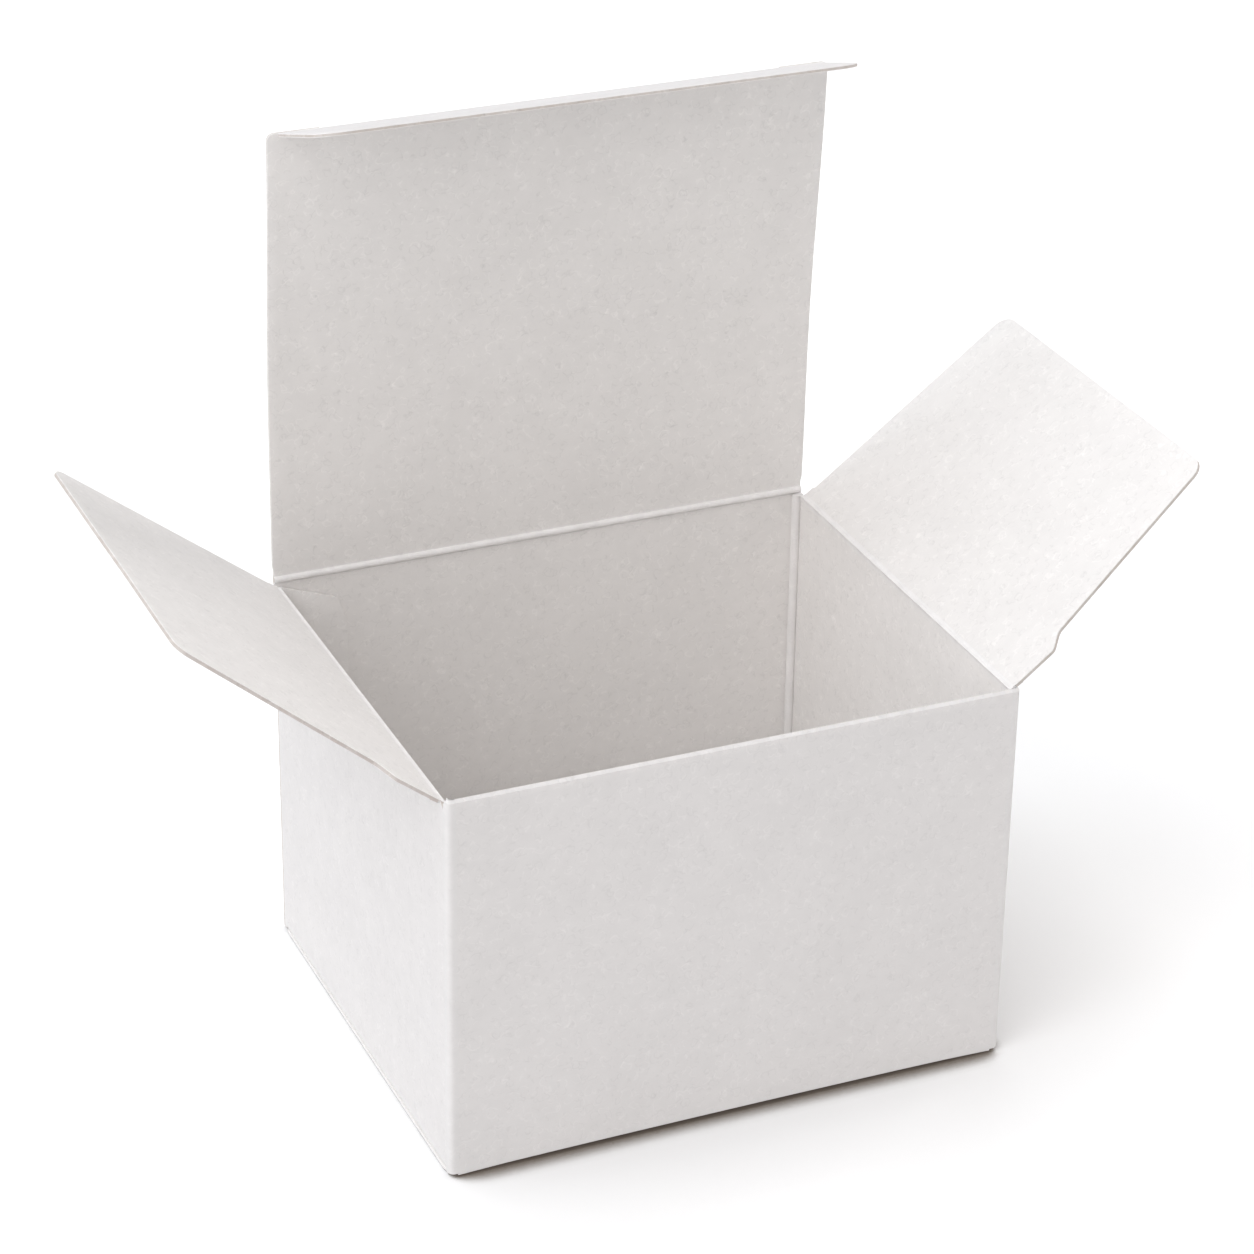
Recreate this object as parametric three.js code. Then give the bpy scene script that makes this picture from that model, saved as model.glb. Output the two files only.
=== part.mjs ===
// A paperboard folding carton with a tuck-in lid, standing open.
// The frame: X across the front, Y from front to back, Z up; the origin is the middle of its underside.
import * as THREE from "three";

// The carton, outside and shut, and the board that it is cut from.
const width = 100;
const depth = 84;
const height = 70;
const board = 0.6;

// Folds. A fold is a bead as thick as two boards, with a flat land beside it.
const scoreLand = 0.4;
const foldGap = 0.3;
const stackGap = 0.2;

// The flap glued inside the back panel, which closes the tube of four walls.
const glueFlapWidth = 12.6;
const glueFlapTaper = 3.3;
const glueFlapCorner = 2;
const glueLayer = 0.1;
const glueMargin = 1.4;
const seamInset = 0.3;

// The lid and the bottom panel, alike but for how far they reach.
const hingeRelief = 0.4;
const hingeReliefLength = 1.6;
const slitLength = 9;
const slitWidth = 0.2;
const slitCorner = 1.2;
const lidSeatGap = 0.8;
const bottomSeatGap = 0.5;

// The tuck flap on each of them. The lid's reaches further down than the bottom's reaches up.
const lidTuckDepth = 20.5;
const bottomTuckDepth = 15;
const tuckCorner = 5.6;
const tuckTaper = 0.8;
const tuckSideGap = 0.4;

// The dust flaps on the side walls, cut alike at the top and the bottom.
const dustMeetingGap = 0.3;
const dustRootGap = 0.1;
const dustNick = 0.5;
const dustNickLength = 1.5;
const dustHingeTaper = 1;
const shoulderLength = 8.6;
const shoulderStep = 2.6;
const shoulderRun = 2.8;
const dustTuckTaper = 6.2;
const dustCorner = 3;
const shoulderPassGap = 0.7;
const shoulderSwingGap = 0.3;

// How each fold stands, in degrees. A panel is at zero where it shuts the carton, and a tuck where it lies flat.
const lidAngle = 87;
const lidTuckAngle = 69;
const dustAngle = 142.1;
const bottomTuckAngle = 96;

// The straight steps that draw an eighth of a turn.
const arcSteps = 5;

// Places worked out from the sizes above.
const score = board + scoreLand;
const foldX = width / 2 - board;
const foldY = depth / 2 - board;
const lidFoldZ = height - board;
const dustFoldZ = lidFoldZ - stackGap - board;
const glueFlapFoldY = foldY - glueLayer - board;
const degree = Math.PI / 180;
const quarterTurn = Math.PI / 2;

const paper = (colour) => new THREE.MeshStandardMaterial({ color: colour, roughness: 0.9, metalness: 0 });
const outsideWhite = 0xf4f3f1;
const insideWhite = 0xe9e7e4;
const foldWhite = 0xfaf9f7;
const glueClear = 0xe6dcc0;

// Names a solid as one piece of the carton.
function piece(name, geometry, colour) {
  const mesh = new THREE.Mesh(geometry, paper(colour));
  mesh.name = name;
  return mesh;
}

// Extrudes an outline along one axis. It is drawn in the two axes that follow: y and z for x, z and x for y, x and y for z.
function extrudeAlong(axis, outline, from, to) {
  const geometry = new THREE.ExtrudeGeometry(outline, {
    depth: to - from,
    bevelEnabled: false,
    curveSegments: arcSteps,
  });
  geometry.translate(0, 0, from);
  const x = new THREE.Vector3(1, 0, 0);
  const y = new THREE.Vector3(0, 1, 0);
  const z = new THREE.Vector3(0, 0, 1);
  const turned = { x: [y, z, x], y: [z, x, y], z: [x, y, z] }[axis];
  return geometry.applyMatrix4(new THREE.Matrix4().makeBasis(...turned));
}

function rectangle(lowA, highA, lowB, highB) {
  const outline = new THREE.Shape();
  outline.moveTo(lowA, lowB);
  outline.lineTo(highA, lowB);
  outline.lineTo(highA, highB);
  outline.lineTo(lowA, highB);
  outline.closePath();
  return outline;
}

// An outline through corner points; a corner with a radius is rounded by an arc of that radius.
function roundedOutline(corners) {
  const outline = new THREE.Shape();
  corners.forEach(({ at, radius = 0 }, i) => {
    const before = corners.at(i - 1).at;
    const after = corners[(i + 1) % corners.length].at;
    const here = new THREE.Vector2(...at);
    const back = new THREE.Vector2(...before).sub(here).normalize();
    const on = new THREE.Vector2(...after).sub(here).normalize();
    const start = i === 0 ? "moveTo" : "lineTo";
    if (radius === 0) {
      outline[start](here.x, here.y);
      return;
    }
    const half = Math.acos(THREE.MathUtils.clamp(back.dot(on), -1, 1)) / 2;
    const reach = radius / Math.tan(half);
    const arcFrom = here.clone().addScaledVector(back, reach);
    const arcTo = here.clone().addScaledVector(on, reach);
    const middle = back.clone().add(on).normalize();
    const centre = here.clone().addScaledVector(middle, radius / Math.sin(half));
    const clockwise = back.cross(on) > 0;
    outline[start](arcFrom.x, arcFrom.y);
    const angleFrom = Math.atan2(arcFrom.y - centre.y, arcFrom.x - centre.x);
    const angleTo = Math.atan2(arcTo.y - centre.y, arcTo.x - centre.x);
    outline.absarc(centre.x, centre.y, radius, angleFrom, angleTo, clockwise);
  });
  outline.closePath();
  return outline;
}

// The section of a wall corner: a round outer edge, a round bead inside, and a land towards each wall.
// The fold's middle is at (0, 0); the walls run off along +a and +b, and alongA and alongB turn them round.
function cornerSection(middleA, middleB, alongA, alongB) {
  const point = (a, b) => [middleA + alongA * a, middleB + alongB * b];
  const outline = new THREE.Shape();
  outline.moveTo(...point(score, -board));
  outline.lineTo(...point(score, 0));
  outline.lineTo(...point(board, 0));
  for (let i = 1; i < 2 * arcSteps; i += 1) {
    const turn = (Math.PI / 4) * (i / arcSteps);
    outline.lineTo(...point(board * Math.cos(turn), board * Math.sin(turn)));
  }
  outline.lineTo(...point(0, board));
  outline.lineTo(...point(0, score));
  outline.lineTo(...point(-board, score));
  outline.lineTo(...point(-board, 0));
  for (let i = 1; i < 2 * arcSteps; i += 1) {
    const turn = Math.PI + (Math.PI / 4) * (i / arcSteps);
    outline.lineTo(...point(board * Math.cos(turn), board * Math.sin(turn)));
  }
  outline.lineTo(...point(0, -board));
  outline.closePath();
  return outline;
}

// The section of a fold that a flap turns on: a full bead and the land of the wall that carries it.
// The wall runs off along -b, and its outer face is on the side that outward points to.
function hingeSection(middleA, middleB, outward) {
  const outline = new THREE.Shape();
  outline.moveTo(middleA, middleB - score);
  outline.lineTo(middleA, middleB - board);
  for (let i = 1; i < 6 * arcSteps; i += 1) {
    const turn = (Math.PI / 4) * (i / arcSteps);
    outline.lineTo(middleA - outward * board * Math.sin(turn), middleB - board * Math.cos(turn));
  }
  outline.lineTo(middleA + outward * board, middleB);
  outline.lineTo(middleA + outward * board, middleB - score);
  outline.closePath();
  return outline;
}

// A panel that turns on a fold. Its own frame lies on the fold: x along it, y out from it, z to the outer face.
// The yaw turns that frame about Z, and the angle, in degrees, then lifts the panel about its own x.
function foldedGroup(place, yaw, angle) {
  const seat = new THREE.Group();
  seat.position.set(...place);
  seat.rotation.z = yaw;
  const turning = new THREE.Group();
  turning.rotation.x = angle * degree;
  seat.add(turning);
  return { seat, turning };
}

const carton = new THREE.Group();

// The side walls stop short at the back on the left, where the fold to the glue flap lies inside the back panel.
const leftWall = { side: -1, front: -foldY + score, back: glueFlapFoldY - score };
const rightWall = { side: 1, front: -foldY + score, back: foldY - score };

function addWalls() {
  const front = rectangle(board + score, height, -foldX + score, foldX - score);
  carton.add(piece("front_panel", extrudeAlong("y", front, -depth / 2, -foldY), outsideWhite));

  const back = rectangle(0, lidFoldZ - score, -width / 2 + seamInset, foldX - score);
  carton.add(piece("back_panel", extrudeAlong("y", back, foldY, depth / 2), insideWhite));

  for (const [name, wall] of [["left_panel", leftWall], ["right_panel", rightWall]]) {
    const outline = rectangle(wall.front, wall.back, height - dustFoldZ + score, dustFoldZ - score);
    const faces = [wall.side * foldX, (wall.side * width) / 2].sort((a, b) => a - b);
    carton.add(piece(name, extrudeAlong("x", outline, ...faces), outsideWhite));
  }
}

// The four upright folds. Where a hinged panel starts they stop under its fold, and elsewhere just inside the panel.
function addUprightFolds() {
  const underHinge = dustFoldZ - board;
  const underPanel = dustFoldZ + board;
  const folds = [
    ["front_left_fold", -foldX, -foldY, 1, 1, height - underHinge, underPanel],
    ["front_right_fold", foldX, -foldY, -1, 1, height - underHinge, underPanel],
    ["back_right_fold", foldX, foldY, -1, -1, height - underPanel, underHinge],
    ["back_left_fold", -foldX, glueFlapFoldY, 1, -1, height - underPanel, underHinge],
  ];
  for (const [name, x, y, alongX, alongY, from, to] of folds) {
    const section = cornerSection(x, y, alongX, alongY);
    carton.add(piece(name, extrudeAlong("z", section, from, to), foldWhite));
  }
}

// The glue flap has slanting ends, so that it slides in past the folds, and a thin layer of glue behind it.
function addGlueSeam() {
  const rootX = -foldX + score;
  const tipX = -foldX + glueFlapWidth;
  const rootZ = dustFoldZ - board;
  const tipZ = rootZ - glueFlapTaper;
  const flap = roundedOutline([
    { at: [height - rootZ, rootX] },
    { at: [rootZ, rootX] },
    { at: [tipZ, tipX], radius: glueFlapCorner },
    { at: [height - tipZ, tipX], radius: glueFlapCorner },
  ]);
  const outerFace = glueFlapFoldY + board;
  carton.add(piece("glue_flap", extrudeAlong("y", flap, glueFlapFoldY, outerFace), insideWhite));

  const bottomZ = height - tipZ + glueMargin;
  const topZ = tipZ - glueMargin;
  const layer = rectangle(bottomZ, topZ, rootX + glueMargin, tipX - glueMargin);
  carton.add(piece("glue_layer", extrudeAlong("y", layer, outerFace, foldY), glueClear));
}

// The lid's outline. Past each slit its raw edge stands a board's thickness proud of the tuck's fold.
function lidOutline(reach) {
  const half = width / 2;
  const slitX = half - slitLength;
  const start = board + foldGap;
  const proud = reach + board;
  const right = [
    { at: [half - hingeRelief, start] },
    { at: [half - hingeRelief, start + hingeReliefLength / 2], radius: hingeRelief },
    { at: [half, start + hingeReliefLength], radius: hingeRelief },
    { at: [half, proud], radius: slitCorner },
    { at: [slitX, proud] },
    { at: [slitX, reach - score] },
  ];
  const left = right.map(({ at, radius }) => ({ at: [-at[0], at[1]], radius })).reverse();
  return roundedOutline([...right, ...left]);
}

// The tuck's outline, with large round ends. Behind the slits it starts a little further out than at its fold.
function tuckOutline(tuckDepth) {
  const half = foldX - board - tuckSideGap;
  const slitX = width / 2 - slitLength;
  const start = board + foldGap;
  const right = [
    { at: [slitX, start] },
    { at: [slitX, start + slitWidth] },
    { at: [half, start + slitWidth] },
    { at: [half - tuckTaper, tuckDepth], radius: tuckCorner },
  ];
  const left = right.map(({ at, radius }) => ({ at: [-at[0], at[1]], radius })).reverse();
  return roundedOutline([...right, ...left]);
}

// The outline of a dust flap. Its x runs towards the lid's hinge when hand is 1, and away from it when hand is -1.
// The side by the tuck has a shoulder near the fold and draws in past it, to leave the tuck room.
function dustOutline(hand, shoulder) {
  const start = board + foldGap;
  const tip = foldX - dustMeetingGap;
  const root = glueFlapFoldY - score - dustRootGap;
  const shoulderEnd = score + shoulderLength;
  const inner = -shoulder + shoulderStep;
  const corners = [
    { at: [root, start] },
    { at: [root, start + dustNickLength] },
    { at: [root - dustNick, start + dustNickLength + dustNick] },
    { at: [root - dustNick - dustHingeTaper, tip], radius: dustCorner },
    { at: [inner + dustTuckTaper, tip], radius: dustCorner },
    { at: [inner, shoulderEnd + shoulderRun], radius: shoulderStep },
    { at: [-shoulder, shoulderEnd], radius: shoulderStep / 2 },
    { at: [-shoulder, start] },
  ];
  return roundedOutline(corners.map(({ at, radius }) => ({ at: [hand * at[0], at[1]], radius })));
}

// One end of the carton, drawn as its top: a panel on the far wall with its tuck, and a dust flap on each side wall.
// Names are the pieces' names, span gives where each side wall's fold starts and ends, and the angles how each stands.
function endClosure({ names, span, reach, tuckDepth, shoulder, panelAngle, tuckAngle, flapAngle }) {
  const end = new THREE.Group();

  const hinge = hingeSection(foldY, lidFoldZ, 1);
  end.add(piece(names.hinge, extrudeAlong("x", hinge, -foldX, foldX), foldWhite));

  const lid = foldedGroup([0, foldY, lidFoldZ], Math.PI, panelAngle);
  lid.turning.add(piece(names.panel, extrudeAlong("z", lidOutline(reach), 0, board), outsideWhite));
  end.add(lid.seat);

  const slitX = width / 2 - slitLength;
  const tuckHinge = new THREE.Group();
  const section = hingeSection(0, 0, -1);
  tuckHinge.add(piece(names.tuckHinge, extrudeAlong("x", section, -slitX, slitX), foldWhite));
  tuckHinge.position.set(0, reach, 0);
  tuckHinge.rotation.x = -quarterTurn;
  lid.turning.add(tuckHinge);

  const tuck = foldedGroup([0, reach, 0], 0, -tuckAngle);
  tuck.turning.add(piece(names.tuck, extrudeAlong("z", tuckOutline(tuckDepth), 0, board), outsideWhite));
  lid.turning.add(tuck.seat);

  for (const [side, dust] of [[-1, names.left], [1, names.right]]) {
    const fold = new THREE.Group();
    const wallFold = hingeSection(0, 0, side);
    const geometry = extrudeAlong("z", wallFold, -span(side)[1], -span(side)[0]);
    fold.add(piece(dust.hinge, geometry, foldWhite));
    fold.position.set(side * foldX, 0, dustFoldZ);
    fold.rotation.x = quarterTurn;
    end.add(fold);

    const flap = foldedGroup([side * foldX, 0, dustFoldZ], side * quarterTurn, flapAngle);
    flap.turning.add(piece(dust.flap, extrudeAlong("z", dustOutline(side, shoulder), 0, board), outsideWhite));
    end.add(flap.seat);
  }
  return end;
}

addWalls();
addUprightFolds();
addGlueSeam();

// The lid hangs on the back panel, and its tuck goes down inside the front panel.
const lidReach = 2 * foldY - board - lidSeatGap;
const lidTuckY = foldY - lidReach;
carton.add(endClosure({
  names: {
    hinge: "lid_fold",
    panel: "lid_panel",
    tuckHinge: "lid_tuck_fold",
    tuck: "lid_tuck",
    left: { hinge: "top_left_fold", flap: "top_left_dust_flap" },
    right: { hinge: "top_right_fold", flap: "top_right_dust_flap" },
  },
  span: (side) => (side < 0 ? [leftWall.front, leftWall.back] : [rightWall.front, rightWall.back]),
  reach: lidReach,
  tuckDepth: lidTuckDepth,
  shoulder: -lidTuckY - shoulderPassGap,
  panelAngle: lidAngle,
  tuckAngle: lidTuckAngle,
  flapAngle: dustAngle,
}));

// The bottom is the same end turned over. Its panel hangs on the front, and its tuck goes up inside the glue flap.
const bottomReach = foldY + glueFlapFoldY - board - bottomSeatGap;
const bottomTuckY = bottomReach - foldY;
const tuckLean = bottomTuckDepth * Math.sin(bottomTuckAngle * degree - quarterTurn);
const bottomEnd = endClosure({
  names: {
    hinge: "bottom_fold",
    panel: "bottom_panel",
    tuckHinge: "bottom_tuck_fold",
    tuck: "bottom_tuck",
    left: { hinge: "bottom_left_fold", flap: "bottom_left_dust_flap" },
    right: { hinge: "bottom_right_fold", flap: "bottom_right_dust_flap" },
  },
  span: (side) => (side < 0 ? [-leftWall.back, -leftWall.front] : [-rightWall.back, -rightWall.front]),
  reach: bottomReach,
  tuckDepth: bottomTuckDepth,
  shoulder: bottomTuckY - tuckLean - shoulderSwingGap,
  panelAngle: 0,
  tuckAngle: bottomTuckAngle,
  flapAngle: 0,
});
bottomEnd.scale.set(1, -1, -1);
bottomEnd.position.z = height;
carton.add(bottomEnd);

export default carton;
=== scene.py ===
import math

import bmesh
import bpy
from mathutils import Matrix, Vector


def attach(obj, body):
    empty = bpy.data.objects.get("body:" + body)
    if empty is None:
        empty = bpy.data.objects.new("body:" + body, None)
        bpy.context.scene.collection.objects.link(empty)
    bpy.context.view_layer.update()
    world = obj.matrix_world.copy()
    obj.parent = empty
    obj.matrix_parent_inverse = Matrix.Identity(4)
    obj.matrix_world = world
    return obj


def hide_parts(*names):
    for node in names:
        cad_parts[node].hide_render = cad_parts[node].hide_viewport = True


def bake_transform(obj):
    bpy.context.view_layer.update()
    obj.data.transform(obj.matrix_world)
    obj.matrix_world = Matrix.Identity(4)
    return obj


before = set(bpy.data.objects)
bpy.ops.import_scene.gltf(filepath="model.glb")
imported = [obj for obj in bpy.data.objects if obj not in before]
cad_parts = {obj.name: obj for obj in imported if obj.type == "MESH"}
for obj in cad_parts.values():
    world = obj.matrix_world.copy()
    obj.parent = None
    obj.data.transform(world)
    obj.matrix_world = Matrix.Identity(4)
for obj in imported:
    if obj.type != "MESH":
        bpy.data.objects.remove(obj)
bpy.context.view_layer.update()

# Front panel. One wall of the die-cut sheet of white-lined board, left plain along its top edge,
# where the lid's tuck goes in behind it. The die presses the white liner over that cut edge, so
# little of the grey-brown middle shows there.
mm = 0.001
board = 0.6 * mm
inner_liner = 0.11 * mm
outer_liner = 0.13 * mm
touch = 0.002 * mm
across_x, up_y = 0, 1


def srgb(red, green, blue):
    """A colour as a painter reads it, from 0 to 255, in the linear values that Blender's sockets take."""
    def linear(value):
        share = value / 255
        return share / 12.92 if share <= 0.04045 else ((share + 0.055) / 1.055) ** 2.4
    return (linear(red), linear(green), linear(blue), 1.0)


def add_node(tree, kind, inputs=(), **settings):
    """A node with its settings; each input is a number, a colour or another node's output."""
    node = tree.nodes.new("ShaderNode" + kind)
    for name, value in settings.items():
        setattr(node, name, value)
    for name, value in dict(inputs).items():
        if isinstance(value, bpy.types.NodeSocket):
            tree.links.new(value, node.inputs[name])
        else:
            node.inputs[name].default_value = value
    return node


def paper_surface():
    """The look of pressed paper pulp: curled fibres, cloudy patches, fine grain, and places of wear and
    painted highlight.
    """
    group = bpy.data.node_groups.new("paper surface", "ShaderNodeTree")
    for name, kind in (
        ("Position", "NodeSocketVector"), ("Colour", "NodeSocketColor"),
        ("Wear And Highlight Colour", "NodeSocketColor"), ("Wear And Highlight", "NodeSocketFloat"),
        ("Fibres", "NodeSocketFloat"), ("Dullness", "NodeSocketFloat"),
    ):
        group.interface.new_socket(name, in_out="INPUT", socket_type=kind)
    for name, kind in (
        ("Colour", "NodeSocketColor"), ("Roughness", "NodeSocketFloat"), ("Height", "NodeSocketFloat"),
    ):
        group.interface.new_socket(name, in_out="OUTPUT", socket_type=kind)
    given = group.nodes.new("NodeGroupInput")
    result = group.nodes.new("NodeGroupOutput")

    def maths(operation, first, second=0.0):
        return add_node(group, "Math", {0: first, 1: second}, operation=operation).outputs[0]

    def remap(value, low, high, new_low=0.0, new_high=1.0):
        return add_node(group, "MapRange", {
            "Value": value, "From Min": low, "From Max": high, "To Min": new_low, "To Max": new_high,
        }, interpolation_type="SMOOTHSTEP").outputs[0]

    def noise(position, size, detail):
        return add_node(group, "TexNoise", {
            "Vector": position, "Scale": 1 / size, "Detail": detail, "Roughness": 0.55,
        })

    def moved(place, step):
        return add_node(group, "VectorMath", {0: place, 1: step}, operation="ADD").outputs[0]

    def scaled(vector, factor):
        return add_node(group, "VectorMath", {0: vector, "Scale": factor}, operation="SCALE").outputs[0]

    warp = noise(given.outputs["Position"], 1.3 * mm, 1.0).outputs["Color"]
    centred = add_node(group, "VectorMath", {
        0: warp, 1: (0.5, 0.5, 0.5),
    }, operation="SUBTRACT").outputs[0]
    curled = moved(given.outputs["Position"], scaled(centred, 1.5 * mm))

    # Each layer draws rings of one size round scattered points, and a patchy mask leaves arcs of them.
    fibres = 0.0
    for size, radius, width, shift, sign in (
        (2.3 * mm, 0.33, 0.075, 0.0, 1.0), (1.9 * mm, 0.37, 0.08, 0.37, -1.0),
        (3.1 * mm, 0.36, 0.05, 0.71, 1.0), (2.7 * mm, 0.30, 0.06, 0.53, -1.0),
    ):
        shifted = moved(curled, (shift, shift, shift))
        cells = add_node(group, "TexVoronoi", {"Vector": shifted, "Scale": 1 / size}).outputs["Distance"]
        off_ring = maths("ABSOLUTE", maths("SUBTRACT", cells, radius))
        ring = remap(off_ring, 0.0, width, 1.0, 0.0)
        patch = remap(noise(shifted, 1.7 * mm, 1.0).outputs[0], 0.46, 0.58)
        arc = maths("MULTIPLY", maths("MULTIPLY", ring, patch), sign)
        fibres = maths("ADD", arc, fibres)

    cloud = remap(noise(given.outputs["Position"], 13 * mm, 4.0).outputs[0], 0.3, 0.7, -1.0, 1.0)
    mottle = remap(noise(given.outputs["Position"], 2.6 * mm, 3.0).outputs[0], 0.3, 0.7, -1.0, 1.0)
    grain = noise(given.outputs["Position"], 0.42 * mm, 2.0).outputs[0]

    drawn = maths("MULTIPLY", fibres, given.outputs["Fibres"])
    tone = maths("ADD", maths("MULTIPLY", cloud, 0.012), maths("MULTIPLY", mottle, 0.011))
    tone = maths("ADD", tone, maths("MULTIPLY", drawn, 0.046))
    tone = maths("ADD", tone, maths("MULTIPLY", maths("SUBTRACT", grain, 0.5), 0.035))
    brightness = maths("ADD", tone, 1.0)
    # Places of wear and painted highlight along cut edges and folds take the lighter second colour and a
    # little gloss.
    worn_and_highlit = maths("MULTIPLY", given.outputs["Wear And Highlight"], remap(mottle, -1.0, 0.7, 0.35, 1.0))
    base = add_node(group, "Mix", {
        0: worn_and_highlit, 6: given.outputs["Colour"], 7: given.outputs["Wear And Highlight Colour"],
    }, data_type="RGBA").outputs[2]
    group.links.new(scaled(base, brightness), result.inputs["Colour"])
    smooth = maths("SUBTRACT", given.outputs["Dullness"], maths("MULTIPLY", worn_and_highlit, 0.1))
    group.links.new(maths("ADD", smooth, maths("MULTIPLY", mottle, 0.03)), result.inputs["Roughness"])
    relief = maths("ADD", maths("MULTIPLY", drawn, 0.5), maths("MULTIPLY", grain, 0.55))
    relief = maths("ADD", relief, maths("MULTIPLY", mottle, 0.35))
    group.links.new(relief, result.inputs["Height"])
    return group


surface_group = paper_surface()


def paper(name, colour, wear_and_highlight_colour, fibres, dullness, relief):
    """A board material: the paper surface with its colour, a lighter one for wear and painted highlight,
    fibre, dullness and relief.
    """
    made = bpy.data.materials.new(name)
    made.use_nodes = True
    tree = made.node_tree
    shader = tree.nodes["Principled BSDF"]
    place_on = add_node(tree, "TexCoord").outputs["Object"]
    wear_and_highlight = add_node(tree, "Attribute", attribute_name="wear_and_highlight").outputs["Fac"]
    skin = tree.nodes.new("ShaderNodeGroup")
    skin.node_tree = surface_group
    tree.links.new(place_on, skin.inputs["Position"])
    tree.links.new(wear_and_highlight, skin.inputs["Wear And Highlight"])
    for socket, value in (
        ("Colour", colour), ("Wear And Highlight Colour", wear_and_highlight_colour), ("Fibres", fibres), ("Dullness", dullness),
    ):
        skin.inputs[socket].default_value = value
    bump = add_node(tree, "Bump", {
        "Height": skin.outputs["Height"], "Strength": 1.0, "Distance": relief,
    })
    tree.links.new(skin.outputs["Colour"], shader.inputs["Base Color"])
    tree.links.new(skin.outputs["Roughness"], shader.inputs["Roughness"])
    tree.links.new(bump.outputs["Normal"], shader.inputs["Normal"])
    shader.inputs["Specular IOR Level"].default_value = 0.25
    return made


# Each paper's second colour is lighter: it marks wear and paints a highlight along cut edges.
outside_paper = paper(
    "outside liner", srgb(233, 230.5, 229.5), wear_and_highlight_colour=srgb(240, 237.5, 236.5),
    fibres=1.0, dullness=0.78, relief=0.008 * mm,
)
middle_paper = paper(
    "board middle", srgb(201, 191, 184), wear_and_highlight_colour=srgb(211, 204, 199),
    fibres=2.0, dullness=0.95, relief=0.03 * mm,
)
inside_paper = paper(
    "inside liner", srgb(240, 237.5, 235.5), wear_and_highlight_colour=srgb(242, 239.5, 237.5),
    fibres=1.3, dullness=0.88, relief=0.01 * mm,
)


def select(kind, wanted):
    """Selects the vertices, edges or faces of the mesh being edited that a test picks by place or normal."""
    bpy.ops.mesh.select_mode(type=kind)
    bpy.ops.mesh.select_all(action="DESELECT")
    mesh = bmesh.from_edit_mesh(bpy.context.object.data)
    for part in {"VERT": mesh.verts, "EDGE": mesh.edges, "FACE": mesh.faces}[kind]:
        if wanted(part):
            part.select_set(True)
    mesh.select_flush_mode()
    bmesh.update_edit_mesh(bpy.context.object.data)


def draw_outline(name, corners):
    """Draws an outline lying flat, corner by corner, and fills it. The mesh stays in edit mode."""
    bpy.ops.object.select_all(action="DESELECT")
    bpy.ops.mesh.primitive_plane_add(size=board)
    bpy.context.object.name = bpy.context.object.data.name = name
    bpy.ops.object.mode_set(mode="EDIT")
    bpy.ops.mesh.select_mode(type="VERT")
    bpy.ops.mesh.select_all(action="SELECT")
    bpy.ops.mesh.merge(type="CENTER")
    points = [Vector((corner[0], corner[1], 0)) for corner in corners]
    bpy.ops.transform.translate(value=points[0])
    for here, there in zip(points, points[1:]):
        bpy.ops.mesh.extrude_vertices_move(TRANSFORM_OT_translate={"value": there - here})
    bpy.ops.mesh.select_all(action="SELECT")
    bpy.ops.mesh.edge_face_add()
    return bpy.context.object


def round_corners(corners, steps=5):
    """Rounds each corner that has a radius as its third number."""
    for i, corner in enumerate(corners):
        if len(corner) < 3:
            continue
        here = Vector(corner[:2])
        back = (Vector(corners[i - 1][:2]) - here).normalized()
        on = (Vector(corners[(i + 1) % len(corners)][:2]) - here).normalized()
        half = math.acos(max(-1.0, min(1.0, back.dot(on)))) / 2
        select("VERT", lambda vertex: (vertex.co.xy - here).length < touch)
        bpy.ops.mesh.bevel(affect="VERTICES", offset=corner[2] / math.tan(half), segments=steps)


def bisect(axis, place_at):
    """Scores a line across the flat sheet, at one place along x or y."""
    line = Vector((0, 0, 0))
    line[axis] = 1
    bpy.ops.mesh.select_all(action="SELECT")
    bpy.ops.mesh.bisect(plane_co=line * place_at, plane_no=line)


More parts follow.
